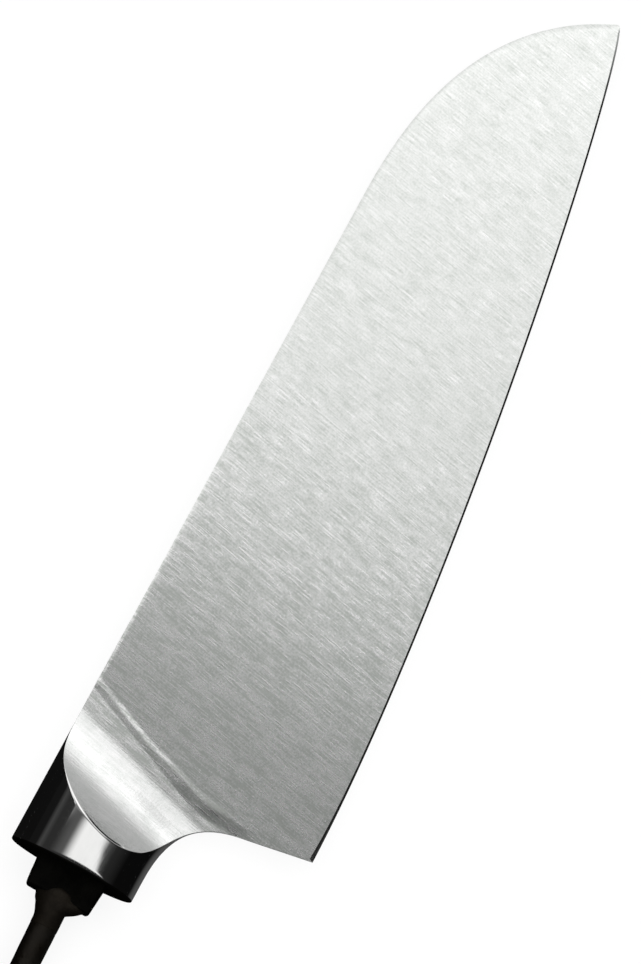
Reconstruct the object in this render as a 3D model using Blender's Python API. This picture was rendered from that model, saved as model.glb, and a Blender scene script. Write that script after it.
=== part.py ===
"""Santoku knife without its handle: blade, bolster, and the black tang that the handle would slide over.

The knife lies on its side, +X towards the tip, +Y towards the spine, +Z out of the flank.
Each piece is modelled about the knife's datum, the centre of the bolster's rear face.
The empty "knife" then places the datum so that the origin is under the middle of the whole knife.
"""

from math import cos, pi, radians, sin, tan

import bmesh
import bpy
from mathutils import Matrix, Vector

MM = 0.001

# Play left between two pieces that meet, so that each stays a solid of its own.
CLEARANCE = 0.3 * MM

# Blade, seen from the side: reaches are measured forward from the bolster, depths down from the spine.
BLADE_REACH = 190.4 * MM
TIP_DEPTH = 27.0 * MM
HEEL_REACH = 22.1 * MM
HEEL_DEPTH = 49.9 * MM
CHOIL_SLANT = radians(9.8)
CHOIL_LENGTH = 13.9 * MM

# Cutting edge: how far each end of its curve keeps its direction.
EDGE_HEEL_PULL = 53.7 * MM
EDGE_TIP_PULL = 9.1 * MM
EDGE_TIP_RISE = radians(32.5)

# Drop from the straight spine to the tip, described the same way.
DROP_LENGTH = 52.2 * MM
DROP_SPINE_PULL = 27.1 * MM
DROP_TIP_PULL = 19.4 * MM
DROP_TIP_FALL = radians(65.1)

# Blade, thickness: flat flanks that taper to the tip and to the edge, then a narrow bevel.
SPINE_THICKNESS = 2.2 * MM
TIP_THICKNESS = 1.5 * MM
EDGE_THICKNESS = 0.32 * MM
BEVEL_WIDTH = 0.55 * MM

# Bolster: an oval block. Its underside turns down into the choil after a straight stretch.
BOLSTER_HEIGHT = 24.5 * MM
BOLSTER_THICKNESS = 17.0 * MM
UNDERSIDE_LENGTH = 4.3 * MM
UNDERSIDE_PULL = 0.82
CHOIL_PULL = 0.59

# Sweep: the hollow that thins the bolster down to the blade, a parabola across a slanted axis.
SWEEP_REACH = 26.9 * MM
SWEEP_RADIUS = 17.7 * MM
SWEEP_SLANT = radians(16.3)

# Weld seam between the bolster's neck and the blade, a slanted plane.
SEAM_REACH = 31.7 * MM
SEAM_SLANT = radians(23.0)

# Tang block: rectangular, seated in a pocket in the bolster's rear face.
BLOCK_HEIGHT = 13.6 * MM
BLOCK_THICKNESS = 7.0 * MM
BLOCK_LENGTH = 5.8 * MM
BLOCK_SEAT_DEPTH = 3.0 * MM
BLOCK_TAPER = radians(4.5)
BLOCK_DROP = 0.2 * MM
BLOCK_EDGE_ROUND = 0.4 * MM

# Tang rod: round, thinner at its far end, and leaning a little towards the edge.
ROD_LENGTH = 84.0 * MM
ROD_ROOT_DIAMETER = 5.2 * MM
ROD_END_DIAMETER = 3.8 * MM
ROD_LEAN = radians(2.1)
ROD_DROP = 0.3 * MM

# Weld bead round the rod's root, a flared ring.
BEAD_LENGTH = 4.6 * MM
BEAD_ROOT_DIAMETER = 9.2 * MM
BEAD_END_DIAMETER = 6.6 * MM

# How finely the curves are divided, and how far a cutter passes a face.
OUTLINE_STEPS = 16
SECTION_SIDES = 44
POLISHED_STEPS = 4
SWEEP_STEPS = 8
ROUND_SIDES = 24
END_ROUND_STEPS = 4
RIM_SEARCH_STEPS = 30
CUTTER_PASS = 1.0 * MM
MERGE = 0.001 * MM
SMOOTH_BELOW = radians(25.0)

SPINE_Y = BOLSTER_HEIGHT / 2
UNDERSIDE_Y = -BOLSTER_HEIGHT / 2
HEEL = Vector((HEEL_REACH, SPINE_Y - HEEL_DEPTH))
TIP = Vector((BLADE_REACH, SPINE_Y - TIP_DEPTH))
SPINE_END = Vector((BLADE_REACH - DROP_LENGTH, SPINE_Y))
BLOCK_REAR_X = -BLOCK_LENGTH
ROD_REAR_X = BLOCK_REAR_X - ROD_LENGTH


def clear_scene():
    for obj in list(bpy.data.objects):
        bpy.data.objects.remove(obj)


def make_material(name, colour, roughness, metallic):
    material = bpy.data.materials.new(name)
    material.use_nodes = True
    shader = material.node_tree.nodes["Principled BSDF"]
    shader.inputs["Base Color"].default_value = colour
    shader.inputs["Roughness"].default_value = roughness
    shader.inputs["Metallic"].default_value = metallic
    return material


def make_object(name, shape, material=None):
    """An object from a bmesh: a piece of the knife if it has a material, otherwise a cutter."""
    bmesh.ops.remove_doubles(shape, verts=shape.verts, dist=MERGE)
    bmesh.ops.dissolve_degenerate(shape, edges=shape.edges, dist=MERGE)
    bmesh.ops.recalc_face_normals(shape, faces=shape.faces)
    mesh = bpy.data.meshes.new(name)
    shape.to_mesh(mesh)
    shape.free()
    obj = bpy.data.objects.new(name, mesh)
    bpy.context.scene.collection.objects.link(obj)
    mesh.shade_smooth()
    mesh.set_sharp_from_angle(angle=SMOOTH_BELOW)
    if material is None:
        obj.hide_render = True
        obj.display_type = "WIRE"
    else:
        mesh.materials.append(material)
    return obj


def add_rings(shape, rings, closed_ends=True):
    """A tube through rings of points, each ring the same number of points."""
    rows = [[shape.verts.new(point) for point in ring] for ring in rings]
    sides = len(rings[0])
    for near, far in zip(rows, rows[1:]):
        for side in range(sides):
            after = (side + 1) % sides
            shape.faces.new((near[side], near[after], far[after], far[side]))
    if closed_ends:
        shape.faces.new(reversed(rows[0]))
        shape.faces.new(rows[-1])
    return rows


def cubic(start, start_handle, end_handle, end, steps=OUTLINE_STEPS):
    """Points along a cubic curve, both ends included."""
    points = []
    for step in range(steps + 1):
        t = step / steps
        s = 1 - t
        near = start * s**3 + start_handle * (3 * s * s * t)
        far = end_handle * (3 * s * t * t) + end * t**3
        points.append(near + far)
    return points


def seam_x(y):
    return SEAM_REACH - (SPINE_Y - y) * tan(SEAM_SLANT)


def cut_at_seam(points, gap):
    """The points of a forward-running line up to the seam less a gap, and the points after the seam."""
    before = [points[0]]
    for index in range(1, len(points)):
        first, second = points[index - 1], points[index]
        to_first = seam_x(first.y) - first.x
        to_second = seam_x(second.y) - second.x
        if to_second <= gap:
            before.append(first.lerp(second, (to_first - gap) / (to_first - to_second)))
            return before, points[index:]
        before.append(second)
    raise ValueError("the seam misses the outline")


def choil_top():
    return HEEL + CHOIL_LENGTH * Vector((-sin(CHOIL_SLANT), cos(CHOIL_SLANT)))


def underside_outline():
    """The lower outline from the bolster's rear face, round the sweep, to the top of the straight choil."""
    rear = Vector((0.0, UNDERSIDE_Y))
    start = Vector((UNDERSIDE_LENGTH, UNDERSIDE_Y))
    end = choil_top()
    corner = Vector((end.x - (UNDERSIDE_Y - end.y) * tan(CHOIL_SLANT), UNDERSIDE_Y))
    turn = cubic(start, start.lerp(corner, UNDERSIDE_PULL), end.lerp(corner, CHOIL_PULL), end)
    return [rear] + turn


def flank_z(x, y):
    """Half the blade's thickness at a point of its flat flank."""
    taper = (SPINE_THICKNESS - TIP_THICKNESS) / 2 / (BLADE_REACH - HEEL_REACH)
    grind = (SPINE_THICKNESS - EDGE_THICKNESS) / 2 / HEEL_DEPTH
    return SPINE_THICKNESS / 2 - taper * (x - HEEL_REACH) - grind * (SPINE_Y - y)


def sweep_z(x, y):
    """Half the thickness that the sweep leaves at a point: the flank, and a parabola behind it."""
    slanted = x * cos(SWEEP_SLANT) + (SPINE_Y - y) * sin(SWEEP_SLANT)
    return flank_z(x, y) + max(0.0, SWEEP_REACH - slanted) ** 2 / (2 * SWEEP_RADIUS)


def point_along(points, fraction):
    """The point at a fraction of the length of a chain of points."""
    lengths = [(second - first).length for first, second in zip(points, points[1:])]
    left = fraction * sum(lengths)
    for first, second, length in zip(points, points[1:], lengths):
        if left <= length:
            return first.lerp(second, left / length)
        left -= length
    return points[-1]


def bolster_rings():
    """Rings round the bolster, from its rear face to the seam. One ring lies on the rim of the sweep."""
    top = [Vector((0.0, SPINE_Y)), Vector((seam_x(SPINE_Y) - CLEARANCE, SPINE_Y))]
    bottom, _ = cut_at_seam(underside_outline(), CLEARANCE)

    def on_section(angle, fraction):
        share = (1 - cos(angle)) / 2
        return point_along(top, fraction).lerp(point_along(bottom, fraction), share)

    def rim_fraction(angle):
        """How far forward the oval surface runs before the sweep cuts it."""
        height = BOLSTER_THICKNESS / 2 * abs(sin(angle))
        low, high = 0.0, 1.0
        if height <= sweep_z(*on_section(angle, high)):
            return high
        for _ in range(RIM_SEARCH_STEPS):
            middle = (low + high) / 2
            if height > sweep_z(*on_section(angle, middle)):
                high = middle
            else:
                low = middle
        return low

    angles = [2 * pi * side / SECTION_SIDES for side in range(SECTION_SIDES)]
    rims = [rim_fraction(angle) for angle in angles]
    steps = POLISHED_STEPS + SWEEP_STEPS
    rings = []
    for step in range(steps + 1):
        ring = []
        for angle, rim in zip(angles, rims):
            if step <= POLISHED_STEPS:
                fraction = rim * step / POLISHED_STEPS
            else:
                fraction = rim + (1 - rim) * (step - POLISHED_STEPS) / SWEEP_STEPS
            place = on_section(angle, fraction)
            height = BOLSTER_THICKNESS / 2 * sin(angle)
            if step > POLISHED_STEPS:
                limit = sweep_z(*place)
                height = max(-limit, min(limit, height))
            ring.append(place.to_3d() + Vector((0.0, 0.0, height)))
        rings.append(ring)
    return rings


def make_bolster(material):
    shape = bmesh.new()
    add_rings(shape, bolster_rings())
    bolster = make_object("bolster", shape, material)
    pocket = make_pocket()
    cut = bolster.modifiers.new("tang pocket", "BOOLEAN")
    cut.operation = "DIFFERENCE"
    cut.solver = "EXACT"
    cut.object = pocket
    return [bolster, pocket]


def make_pocket():
    """Cutter for the pocket that the tang block seats in."""
    size = Vector((BLOCK_SEAT_DEPTH + CLEARANCE + CUTTER_PASS, BLOCK_HEIGHT, BLOCK_THICKNESS))
    size += Vector((0.0, 2 * CLEARANCE, 2 * CLEARANCE))
    middle = Vector((size.x / 2 - CUTTER_PASS, -BLOCK_DROP, 0.0))
    place = Matrix.Translation(middle) @ Matrix.Diagonal(size.to_4d())
    shape = bmesh.new()
    bmesh.ops.create_cube(shape, size=1.0, matrix=place)
    return make_object("tang pocket cutter", shape)


def blade_outlines():
    """The flank's outline from the seam round to the seam, and the cutting edge from heel to tip."""
    edge_end = TIP - EDGE_TIP_PULL * Vector((cos(EDGE_TIP_RISE), sin(EDGE_TIP_RISE)))
    edge = cubic(HEEL, HEEL + Vector((EDGE_HEEL_PULL, 0.0)), edge_end, TIP)
    drop_end = TIP + DROP_TIP_PULL * Vector((-cos(DROP_TIP_FALL), sin(DROP_TIP_FALL)))
    drop = cubic(SPINE_END, SPINE_END + Vector((DROP_SPINE_PULL, 0.0)), drop_end, TIP)
    before_seam, choil = cut_at_seam(underside_outline(), 0.0)
    shoulder = inner_edge(edge, drop[-2], choil[-1])
    rear = [before_seam[-1]] + choil
    front = [Vector((seam_x(SPINE_Y), SPINE_Y))] + drop[:-1]
    return front, shoulder, edge, rear


def inner_edge(edge, drop_side, choil_side):
    """The line where the bevel starts: the cutting edge moved inward by the bevel's width."""
    inner = []
    for index, point in enumerate(edge):
        if index == 0:
            inward = (choil_side - point).normalized()
        elif index == len(edge) - 1:
            inward = (drop_side - point).normalized()
        else:
            along = edge[index + 1] - edge[index - 1]
            inward = Vector((-along.y, along.x)).normalized()
        inner.append(point + BEVEL_WIDTH * inward)
    return inner


def make_blade(material):
    """Two flat flanks, the rim between them, and the bevels that meet in the cutting edge."""
    front, shoulder, edge, rear = blade_outlines()
    outline = front + shoulder[::-1] + rear[::-1]
    shape = bmesh.new()
    edge_line = [shape.verts.new(point.to_3d()) for point in edge]
    flanks = {}
    for side in (1, -1):
        loop = [shape.verts.new((p.x, p.y, side * flank_z(p.x, p.y))) for p in outline]
        shape.faces.new(loop)
        bevel_line = loop[len(front) : len(front) + len(edge)][::-1]
        for index in range(len(edge) - 1):
            after = index + 1
            corners = (bevel_line[index], bevel_line[after], edge_line[after], edge_line[index])
            shape.faces.new(corners)
        flanks[side] = loop
    tip_index = len(front)
    heel_index = len(front) + len(edge) - 1
    count = len(outline)
    for index in list(range(heel_index, count)) + list(range(tip_index)):
        after = (index + 1) % count
        upper, lower = flanks[1], flanks[-1]
        shape.faces.new((upper[index], upper[after], lower[after], lower[index]))
    for index, end in ((tip_index, edge_line[-1]), (heel_index, edge_line[0])):
        shape.faces.new((flanks[1][index], end, flanks[-1][index]))
    return [make_object("blade", shape, material)]


def make_tang_block(material):
    """The block narrows behind the bolster's face and keeps its full height inside the pocket."""
    half = BLOCK_HEIGHT / 2
    narrowing = BLOCK_LENGTH * tan(BLOCK_TAPER)
    profile = [(BLOCK_SEAT_DEPTH, half), (0.0, half), (BLOCK_REAR_X, half - narrowing)]
    profile += [(x, -y) for x, y in reversed(profile)]
    shape = bmesh.new()
    rings = []
    for z in (-BLOCK_THICKNESS / 2, BLOCK_THICKNESS / 2):
        rings.append([Vector((x, y - BLOCK_DROP, z)) for x, y in profile])
    add_rings(shape, rings)
    block = make_object("tang_block", shape, material)
    rounding = block.modifiers.new("rounded edges", "BEVEL")
    rounding.width = BLOCK_EDGE_ROUND
    rounding.segments = 2
    rounding.limit_method = "ANGLE"
    return [block]


def turned_rings(profile):
    """Rings of a turned shape. The profile holds (distance behind the block, radius) pairs."""
    lean = Matrix.Rotation(ROD_LEAN, 3, "Z")
    rings = []
    for distance, radius in profile:
        ring = []
        for side in range(ROUND_SIDES):
            angle = 2 * pi * side / ROUND_SIDES
            point = lean @ Vector((-distance, radius * cos(angle), radius * sin(angle)))
            ring.append(point + Vector((BLOCK_REAR_X, -ROD_DROP, 0.0)))
        rings.append(ring)
    return rings


def rod_radius(distance):
    return (ROD_ROOT_DIAMETER + (ROD_END_DIAMETER - ROD_ROOT_DIAMETER) * distance / ROD_LENGTH) / 2


def make_tang_rod(material):
    """The rod butts on the block and ends in a half-round."""
    end_radius = ROD_END_DIAMETER / 2
    profile = [(CLEARANCE, rod_radius(CLEARANCE))]
    for step in range(END_ROUND_STEPS):
        angle = pi / 2 * step / END_ROUND_STEPS
        profile.append((ROD_LENGTH - end_radius + end_radius * sin(angle), end_radius * cos(angle)))
    shape = bmesh.new()
    rows = add_rings(shape, turned_rings(profile), closed_ends=False)
    shape.faces.new(rows[0])
    root = Vector((BLOCK_REAR_X, -ROD_DROP, 0.0))
    along = Matrix.Rotation(ROD_LEAN, 3, "Z") @ Vector((-ROD_LENGTH, 0.0, 0.0))
    pole = shape.verts.new(root + along)
    for first, second in zip(rows[-1], rows[-1][1:] + rows[-1][:1]):
        shape.faces.new((first, second, pole))
    return [make_object("tang_rod", shape, material)]


def make_tang_weld(material):
    """A flared ring: wide against the block, hollow outside, and open for the rod."""
    bore = ROD_ROOT_DIAMETER / 2 + CLEARANCE
    root = BEAD_ROOT_DIAMETER / 2
    end = BEAD_END_DIAMETER / 2
    profile = []
    for step in range(END_ROUND_STEPS + 1):
        share = step / END_ROUND_STEPS
        profile.append((CLEARANCE + BEAD_LENGTH * share, end + (root - end) * (1 - share) ** 2))
    profile += [(CLEARANCE + BEAD_LENGTH, bore), (CLEARANCE, bore)]
    shape = bmesh.new()
    rows = add_rings(shape, turned_rings(profile), closed_ends=False)
    first, last = rows[0], rows[-1]
    for side in range(ROUND_SIDES):
        after = (side + 1) % ROUND_SIDES
        shape.faces.new((last[side], last[after], first[after], first[side]))
    return [make_object("tang_weld", shape, material)]


def place_on_origin(objects):
    """Parent everything to an empty that puts the origin under the middle of the knife."""
    knife = bpy.data.objects.new("knife", None)
    bpy.context.scene.collection.objects.link(knife)
    middle_x = (BLADE_REACH + rod_end_x()) / 2
    middle_y = SPINE_Y - HEEL_DEPTH / 2
    knife.location = (-middle_x, -middle_y, BOLSTER_THICKNESS / 2)
    for obj in objects:
        obj.parent = knife


def rod_end_x():
    """The rearmost point of the rod's half-round end."""
    end_radius = ROD_END_DIAMETER / 2
    centre = ROD_LENGTH - end_radius
    return BLOCK_REAR_X - centre * cos(ROD_LEAN) - end_radius


def main():
    clear_scene()
    satin_steel = make_material("satin_steel", (0.60, 0.61, 0.60, 1.0), 0.32, 1.0)
    polished_steel = make_material("polished_steel", (0.78, 0.78, 0.78, 1.0), 0.05, 1.0)
    black_scale = make_material("black_scale", (0.018, 0.016, 0.014, 1.0), 0.6, 0.4)
    objects = make_blade(satin_steel)
    objects += make_bolster(polished_steel)
    objects += make_tang_block(black_scale)
    objects += make_tang_rod(black_scale)
    objects += make_tang_weld(black_scale)
    place_on_origin(objects)


main()
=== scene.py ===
"""Looks for the santoku knife without its handle: its ground, polished and scaled steel, and a pale studio.

Distances are measured from the knife's datum, the centre of the bolster's rear face: x forward to the tip,
y up to the spine and z out of the flank. The CAD frame has its origin under the middle of the whole knife,
so every finished mesh is moved by DATUM.
"""

from math import acos, copysign, cos, exp, pi, radians, sin, tan

import bmesh
import bpy
from mathutils import Matrix, Vector, noise


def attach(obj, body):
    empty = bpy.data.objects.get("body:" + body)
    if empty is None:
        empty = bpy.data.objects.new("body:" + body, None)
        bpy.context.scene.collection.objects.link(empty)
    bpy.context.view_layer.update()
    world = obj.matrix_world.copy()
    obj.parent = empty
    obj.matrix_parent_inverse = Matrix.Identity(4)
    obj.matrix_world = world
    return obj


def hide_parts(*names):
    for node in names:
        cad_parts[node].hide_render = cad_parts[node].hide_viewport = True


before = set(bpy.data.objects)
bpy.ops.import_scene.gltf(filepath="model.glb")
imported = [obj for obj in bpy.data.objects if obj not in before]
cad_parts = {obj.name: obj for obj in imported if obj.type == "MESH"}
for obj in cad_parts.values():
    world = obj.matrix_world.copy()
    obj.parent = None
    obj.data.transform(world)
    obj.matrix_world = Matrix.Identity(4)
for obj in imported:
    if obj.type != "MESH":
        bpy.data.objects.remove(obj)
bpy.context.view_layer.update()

MM = 0.001
DATUM = Vector((-50.32757, 12.70, 8.5)) * MM

# Blade outline, as in the CAD.
BLADE_REACH = 190.4 * MM
TIP_DEPTH = 27.0 * MM
HEEL_REACH = 22.1 * MM
HEEL_DEPTH = 49.9 * MM
CHOIL_SLANT = radians(9.8)
CHOIL_LENGTH = 13.9 * MM
EDGE_HEEL_PULL = 53.7 * MM
EDGE_TIP_PULL = 9.1 * MM
EDGE_TIP_RISE = radians(32.5)
DROP_LENGTH = 52.2 * MM
DROP_SPINE_PULL = 27.1 * MM
DROP_TIP_PULL = 19.4 * MM
DROP_TIP_FALL = radians(65.1)
TIP_ROUND = 0.9 * MM

# Blade section.
SPINE_THICKNESS = 2.2 * MM
TIP_THICKNESS = 1.5 * MM
EDGE_THICKNESS = 0.32 * MM
BEVEL_WIDTH = 0.38 * MM
HEEL_BEVEL_EXTRA = 0.42 * MM
HEEL_BEVEL_FADE = 7.0 * MM
EDGE_FLAT = 0.03 * MM
SPINE_EASE = 0.48 * MM
SPINE_EASE_WIDTH = 1.7 * MM
CHOIL_EASE = 0.12 * MM
EASED_SHARE = 0.9

# Bolster and its sweep, as in the CAD, with the eased corners that only show close up.
BOLSTER_HEIGHT = 24.5 * MM
BOLSTER_THICKNESS = 17.0 * MM
UNDERSIDE_LENGTH = 4.3 * MM
UNDERSIDE_PULL = 0.82
CHOIL_PULL = 0.59
SWEEP_REACH = 27.35 * MM
SWEEP_RADIUS = 17.7 * MM
SWEEP_SLANT = radians(17.4)
RIM_EASE = 0.07 * MM
RIM_UPPER_EASE = 0.28 * MM
RIM_UPPER_FROM = 1.0 * MM
RIM_UPPER_TO = 7.0 * MM
RIM_UPPER_FADE = 3.0 * MM
NECK_SQUARENESS = 0.9
NECK_SQUARE_FROM = 0.35
NECK_SQUARE_LENGTH = 0.4
REAR_EASE = 0.26 * MM
REAR_CROWN = 0.015 * MM
REAR_CROWN_LENGTH = 0.7 * MM

# Weld seam, and the plunge line ground along it. The line turns down beside the choil and fades there.
SEAM_REACH = 31.7 * MM
SEAM_SLANT = radians(23.0)
NECK_SLOPE = 0.078
VALLEY_HALF = 0.45 * MM
VALLEY_WIDENING = 1.15 * MM
VALLEY_SLOPE = 0.045
VALLEY_STEEPENING = 0.05
VALLEY_LOW_STEEPENING = 0.02
VALLEY_LOW_LENGTH = 5.0 * MM
VALLEY_UNEVENNESS = 0.3
CREST_WIDTH = 1.3 * MM
CREST_DROP = 0.125 * MM
CREST_LOSS = 0.45
CREST_LOSS_FROM = 3.0 * MM
CREST_LOSS_LENGTH = 15.0 * MM
CREST_FADE_FROM = -15.0 * MM
CREST_FADE_LENGTH = 11.0 * MM
CREST_UNEVENNESS = 0.22
CREST_BREAKS = 0.8
CREST_UPPER_LOSS = 0.5
CREST_UPPER_FROM = 4.0 * MM
CREST_UPPER_LENGTH = 6.0 * MM
CREST_PATCH = 3.0 * MM
UNEVEN_WIDTH = 1.6 * MM
PLUNGE_CHOIL_X = 20.2 * MM
PLUNGE_TURN = 1.6 * MM
PLUNGE_FADE_FROM = -21.0 * MM
PLUNGE_FADE_LENGTH = 9.0 * MM
RIPPLE_DEPTH = 0.0035 * MM
RIPPLE_PITCH = 0.9 * MM
RIPPLE_LENGTH = 9.0 * MM

# Tang.
BLOCK_HEIGHT = 13.6 * MM
BLOCK_THICKNESS = 7.0 * MM
BLOCK_LENGTH = 5.8 * MM
BLOCK_SEAT = 0.6 * MM
BLOCK_TAPER = radians(4.5)
BLOCK_DROP = 0.2 * MM
BLOCK_CORNER = 0.7 * MM
BLOCK_CORNER_LEAST = 0.1 * MM
BLOCK_UNEVENNESS = 0.09 * MM
BLOCK_LUMP_SIZE = 1.6 * MM
ROD_LENGTH = 84.0 * MM
ROD_ROOT_DIAMETER = 5.2 * MM
ROD_END_DIAMETER = 3.8 * MM
ROD_LEAN = radians(2.1)
ROD_DROP = 0.3 * MM
ROD_UNEVENNESS = 0.05 * MM
ROD_LUMP_SIZE = 2.6 * MM
BEAD_UPPER_HEIGHT = 4.4 * MM
BEAD_UPPER_REACH = 3.9 * MM
BEAD_LOWER_HEIGHT = 6.0 * MM
BEAD_LOWER_REACH = 2.1 * MM
BEAD_HALF_THICKNESS = 3.9 * MM
BEAD_PROUD = 0.5 * MM
BEAD_LAP = 1.9 * MM
BEAD_LAP_LEAST = 0.02
BEAD_END = 5.6 * MM
BEAD_END_INSET = 0.8
BEAD_BLEND = 0.35 * MM
BEAD_LUMPS = 0.18 * MM
BEAD_LUMP_SIZE = 1.8 * MM
LUMP_SEED = 5

SPINE_Y = BOLSTER_HEIGHT / 2
UNDERSIDE_Y = -BOLSTER_HEIGHT / 2
HEEL = Vector((HEEL_REACH, SPINE_Y - HEEL_DEPTH))
TIP = Vector((BLADE_REACH, SPINE_Y - TIP_DEPTH))
SPINE_END = Vector((BLADE_REACH - DROP_LENGTH, SPINE_Y))
BLOCK_REAR_X = -BLOCK_LENGTH

# How finely the meshes are divided.
CURVE_STEPS = 160
TIP_ROUND_STEPS = 16
EASE_STEPS = 5
MERGE_DISTANCE = 0.0005 * MM

# Round the bolster, and from its rear face over the rim of the sweep to the seam. The first rows past the
# rim are still polished.
BOLSTER_SIDES = 176
SIDE_CROWDING = 0.42
RIM_SEARCH_STEPS = 24
POLISHED_STEPS = 16
EXTRA_REAR_SHARES = [0.02, 0.04, 0.06, 0.08, 0.12, 0.14, 0.16]
SWEPT_STEPS = 96
POLISHED_PAST_RIM = 9

# Down the blade's flank, and forward from the seam past the heel to the tip.
SPINE_STEPS = 10
FLANK_STEPS = 44
NECK_PITCH = 0.1 * MM
NECK_SPAN = 7.0 * MM
CHOIL_PITCH = 0.5 * MM
HEEL_GAP = 0.02 * MM
EDGE_PITCH = 1.5 * MM
EDGE_ROWS = 70
TIP_ROWS = 90
TIP_GAP = 0.01 * MM

# Along and round the tang.
BLOCK_STEPS = 14
BLOCK_CORNER_STEPS = 6
BLOCK_TALL_SIDE_STEPS = 24
BLOCK_THIN_SIDE_STEPS = 10
BLOCK_TALL_SIDE_FROM = 9.0 * MM
BLOCK_THIN_SIDE_FROM = 2.5 * MM
ROD_STEPS = 110
ROD_END_STEPS = 8
BEAD_STEPS = 40
ROUND_SIDES = 48


# Outline


def cubic(start, start_handle, end_handle, end):
    """Points along a cubic curve, both ends included."""
    points = []
    for step in range(CURVE_STEPS + 1):
        t = step / CURVE_STEPS
        s = 1 - t
        near = start * s**3 + start_handle * (3 * s * s * t)
        far = end_handle * (3 * s * t * t) + end * t**3
        points.append(near + far)
    return points


def seam_x(y):
    return SEAM_REACH - (SPINE_Y - y) * tan(SEAM_SLANT)


def underside_outline():
    """The lower outline from the bolster's rear face, round the sweep, to the top of the straight choil."""
    start = Vector((UNDERSIDE_LENGTH, UNDERSIDE_Y))
    end = HEEL + CHOIL_LENGTH * Vector((-sin(CHOIL_SLANT), cos(CHOIL_SLANT)))
    corner = Vector((end.x - (UNDERSIDE_Y - end.y) * tan(CHOIL_SLANT), UNDERSIDE_Y))
    turn = cubic(start, start.lerp(corner, UNDERSIDE_PULL), end.lerp(corner, CHOIL_PULL), end)
    return [Vector((0.0, UNDERSIDE_Y))] + turn


def edge_outline():
    """The cutting edge from heel to tip."""
    edge_end = TIP - EDGE_TIP_PULL * Vector((cos(EDGE_TIP_RISE), sin(EDGE_TIP_RISE)))
    return cubic(HEEL, HEEL + Vector((EDGE_HEEL_PULL, 0.0)), edge_end, TIP)


def drop_outline():
    """The curve from the straight spine down to the tip."""
    drop_end = TIP + DROP_TIP_PULL * Vector((-cos(DROP_TIP_FALL), sin(DROP_TIP_FALL)))
    return cubic(SPINE_END, SPINE_END + Vector((DROP_SPINE_PULL, 0.0)), drop_end, TIP)


def ahead(point):
    """How far forward of the seam a point is, measured along x."""
    return point.x - seam_x(point.y)


def at_ahead(chain, distance):
    """The point of a forward-running chain at a distance ahead of the seam, and its direction there."""
    for first, second in zip(chain, chain[1:]):
        low, high = ahead(first), ahead(second)
        if high >= distance:
            return first.lerp(second, (distance - low) / (high - low)), (second - first).normalized()
    return chain[-1], (chain[-1] - chain[-2]).normalized()


def rounded_tip(drop, edge):
    """Both chains with the sharp tip replaced by a small arc, shared out between them."""
    along_drop = (drop[-1] - drop[-2]).normalized()
    along_edge = (edge[-1] - edge[-2]).normalized()
    half_corner = acos(along_drop.dot(along_edge)) / 2
    cut = TIP_ROUND / tan(half_corner)
    start = TIP - cut * along_drop
    end = TIP - cut * along_edge
    centre = TIP - (along_drop + along_edge).normalized() * (TIP_ROUND / sin(half_corner))
    arc = []
    for step in range(TIP_ROUND_STEPS + 1):
        spoke = (start - centre).lerp(end - centre, step / TIP_ROUND_STEPS)
        arc.append(centre + spoke.normalized() * TIP_ROUND)
    furthest = max(range(len(arc)), key=lambda index: ahead(arc[index]))
    upper = [point for point in drop if ahead(point) < ahead(arc[0])] + arc[: furthest + 1]
    lower = [point for point in edge if ahead(point) < ahead(arc[-1])] + arc[furthest:][::-1]
    return upper, lower


def bolster_outline():
    """The bolster's upper and lower outline, from its rear face to the seam."""
    upper = [Vector((0.0, SPINE_Y)), Vector((SEAM_REACH, SPINE_Y))]
    underside = underside_outline()
    seam_low, _ = at_ahead(underside, 0.0)
    return upper, [point for point in underside if ahead(point) < 0.0] + [seam_low]


def blade_outline():
    """The blade's upper and lower outline, from the seam to the furthest point of the tip."""
    drop, edge = rounded_tip(drop_outline(), edge_outline())
    underside = underside_outline()
    seam_low, _ = at_ahead(underside, 0.0)
    upper = [Vector((SEAM_REACH, SPINE_Y)), SPINE_END] + drop[1:]
    return upper, [seam_low] + [point for point in underside if ahead(point) > 0.0] + edge


def point_along(points, fraction):
    """The point at a fraction of the length of a chain of points."""
    lengths = [(second - first).length for first, second in zip(points, points[1:])]
    left = fraction * sum(lengths)
    for first, second, length in zip(points, points[1:], lengths):
        if left <= length:
            return first.lerp(second, left / length)
        left -= length
    return points[-1]


# Ground surface


def smooth_step(value):
    value = max(0.0, min(1.0, value))
    return value * value * (3 - 2 * value)


def soft_min(first, second, ease):
    """The smaller of two heights, with the crossing rounded over a small height."""
    share = max(0.0, min(1.0, 0.5 + 0.5 * (second - first) / ease))
    return second + (first - second) * share - ease * share * (1 - share)


def flank_z(x, y):
    """Half the blade's thickness at a point of its flat flank."""
    taper = (SPINE_THICKNESS - TIP_THICKNESS) / 2 / (BLADE_REACH - HEEL_REACH)
    grind = (SPINE_THICKNESS - EDGE_THICKNESS) / 2 / HEEL_DEPTH
    return SPINE_THICKNESS / 2 - taper * (x - HEEL_REACH) - grind * (SPINE_Y - y)


def plunge_x(y):
    """The plunge line follows the seam, then turns down beside the choil."""
    return -soft_min(-seam_x(y), -PLUNGE_CHOIL_X, PLUNGE_TURN)


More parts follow.
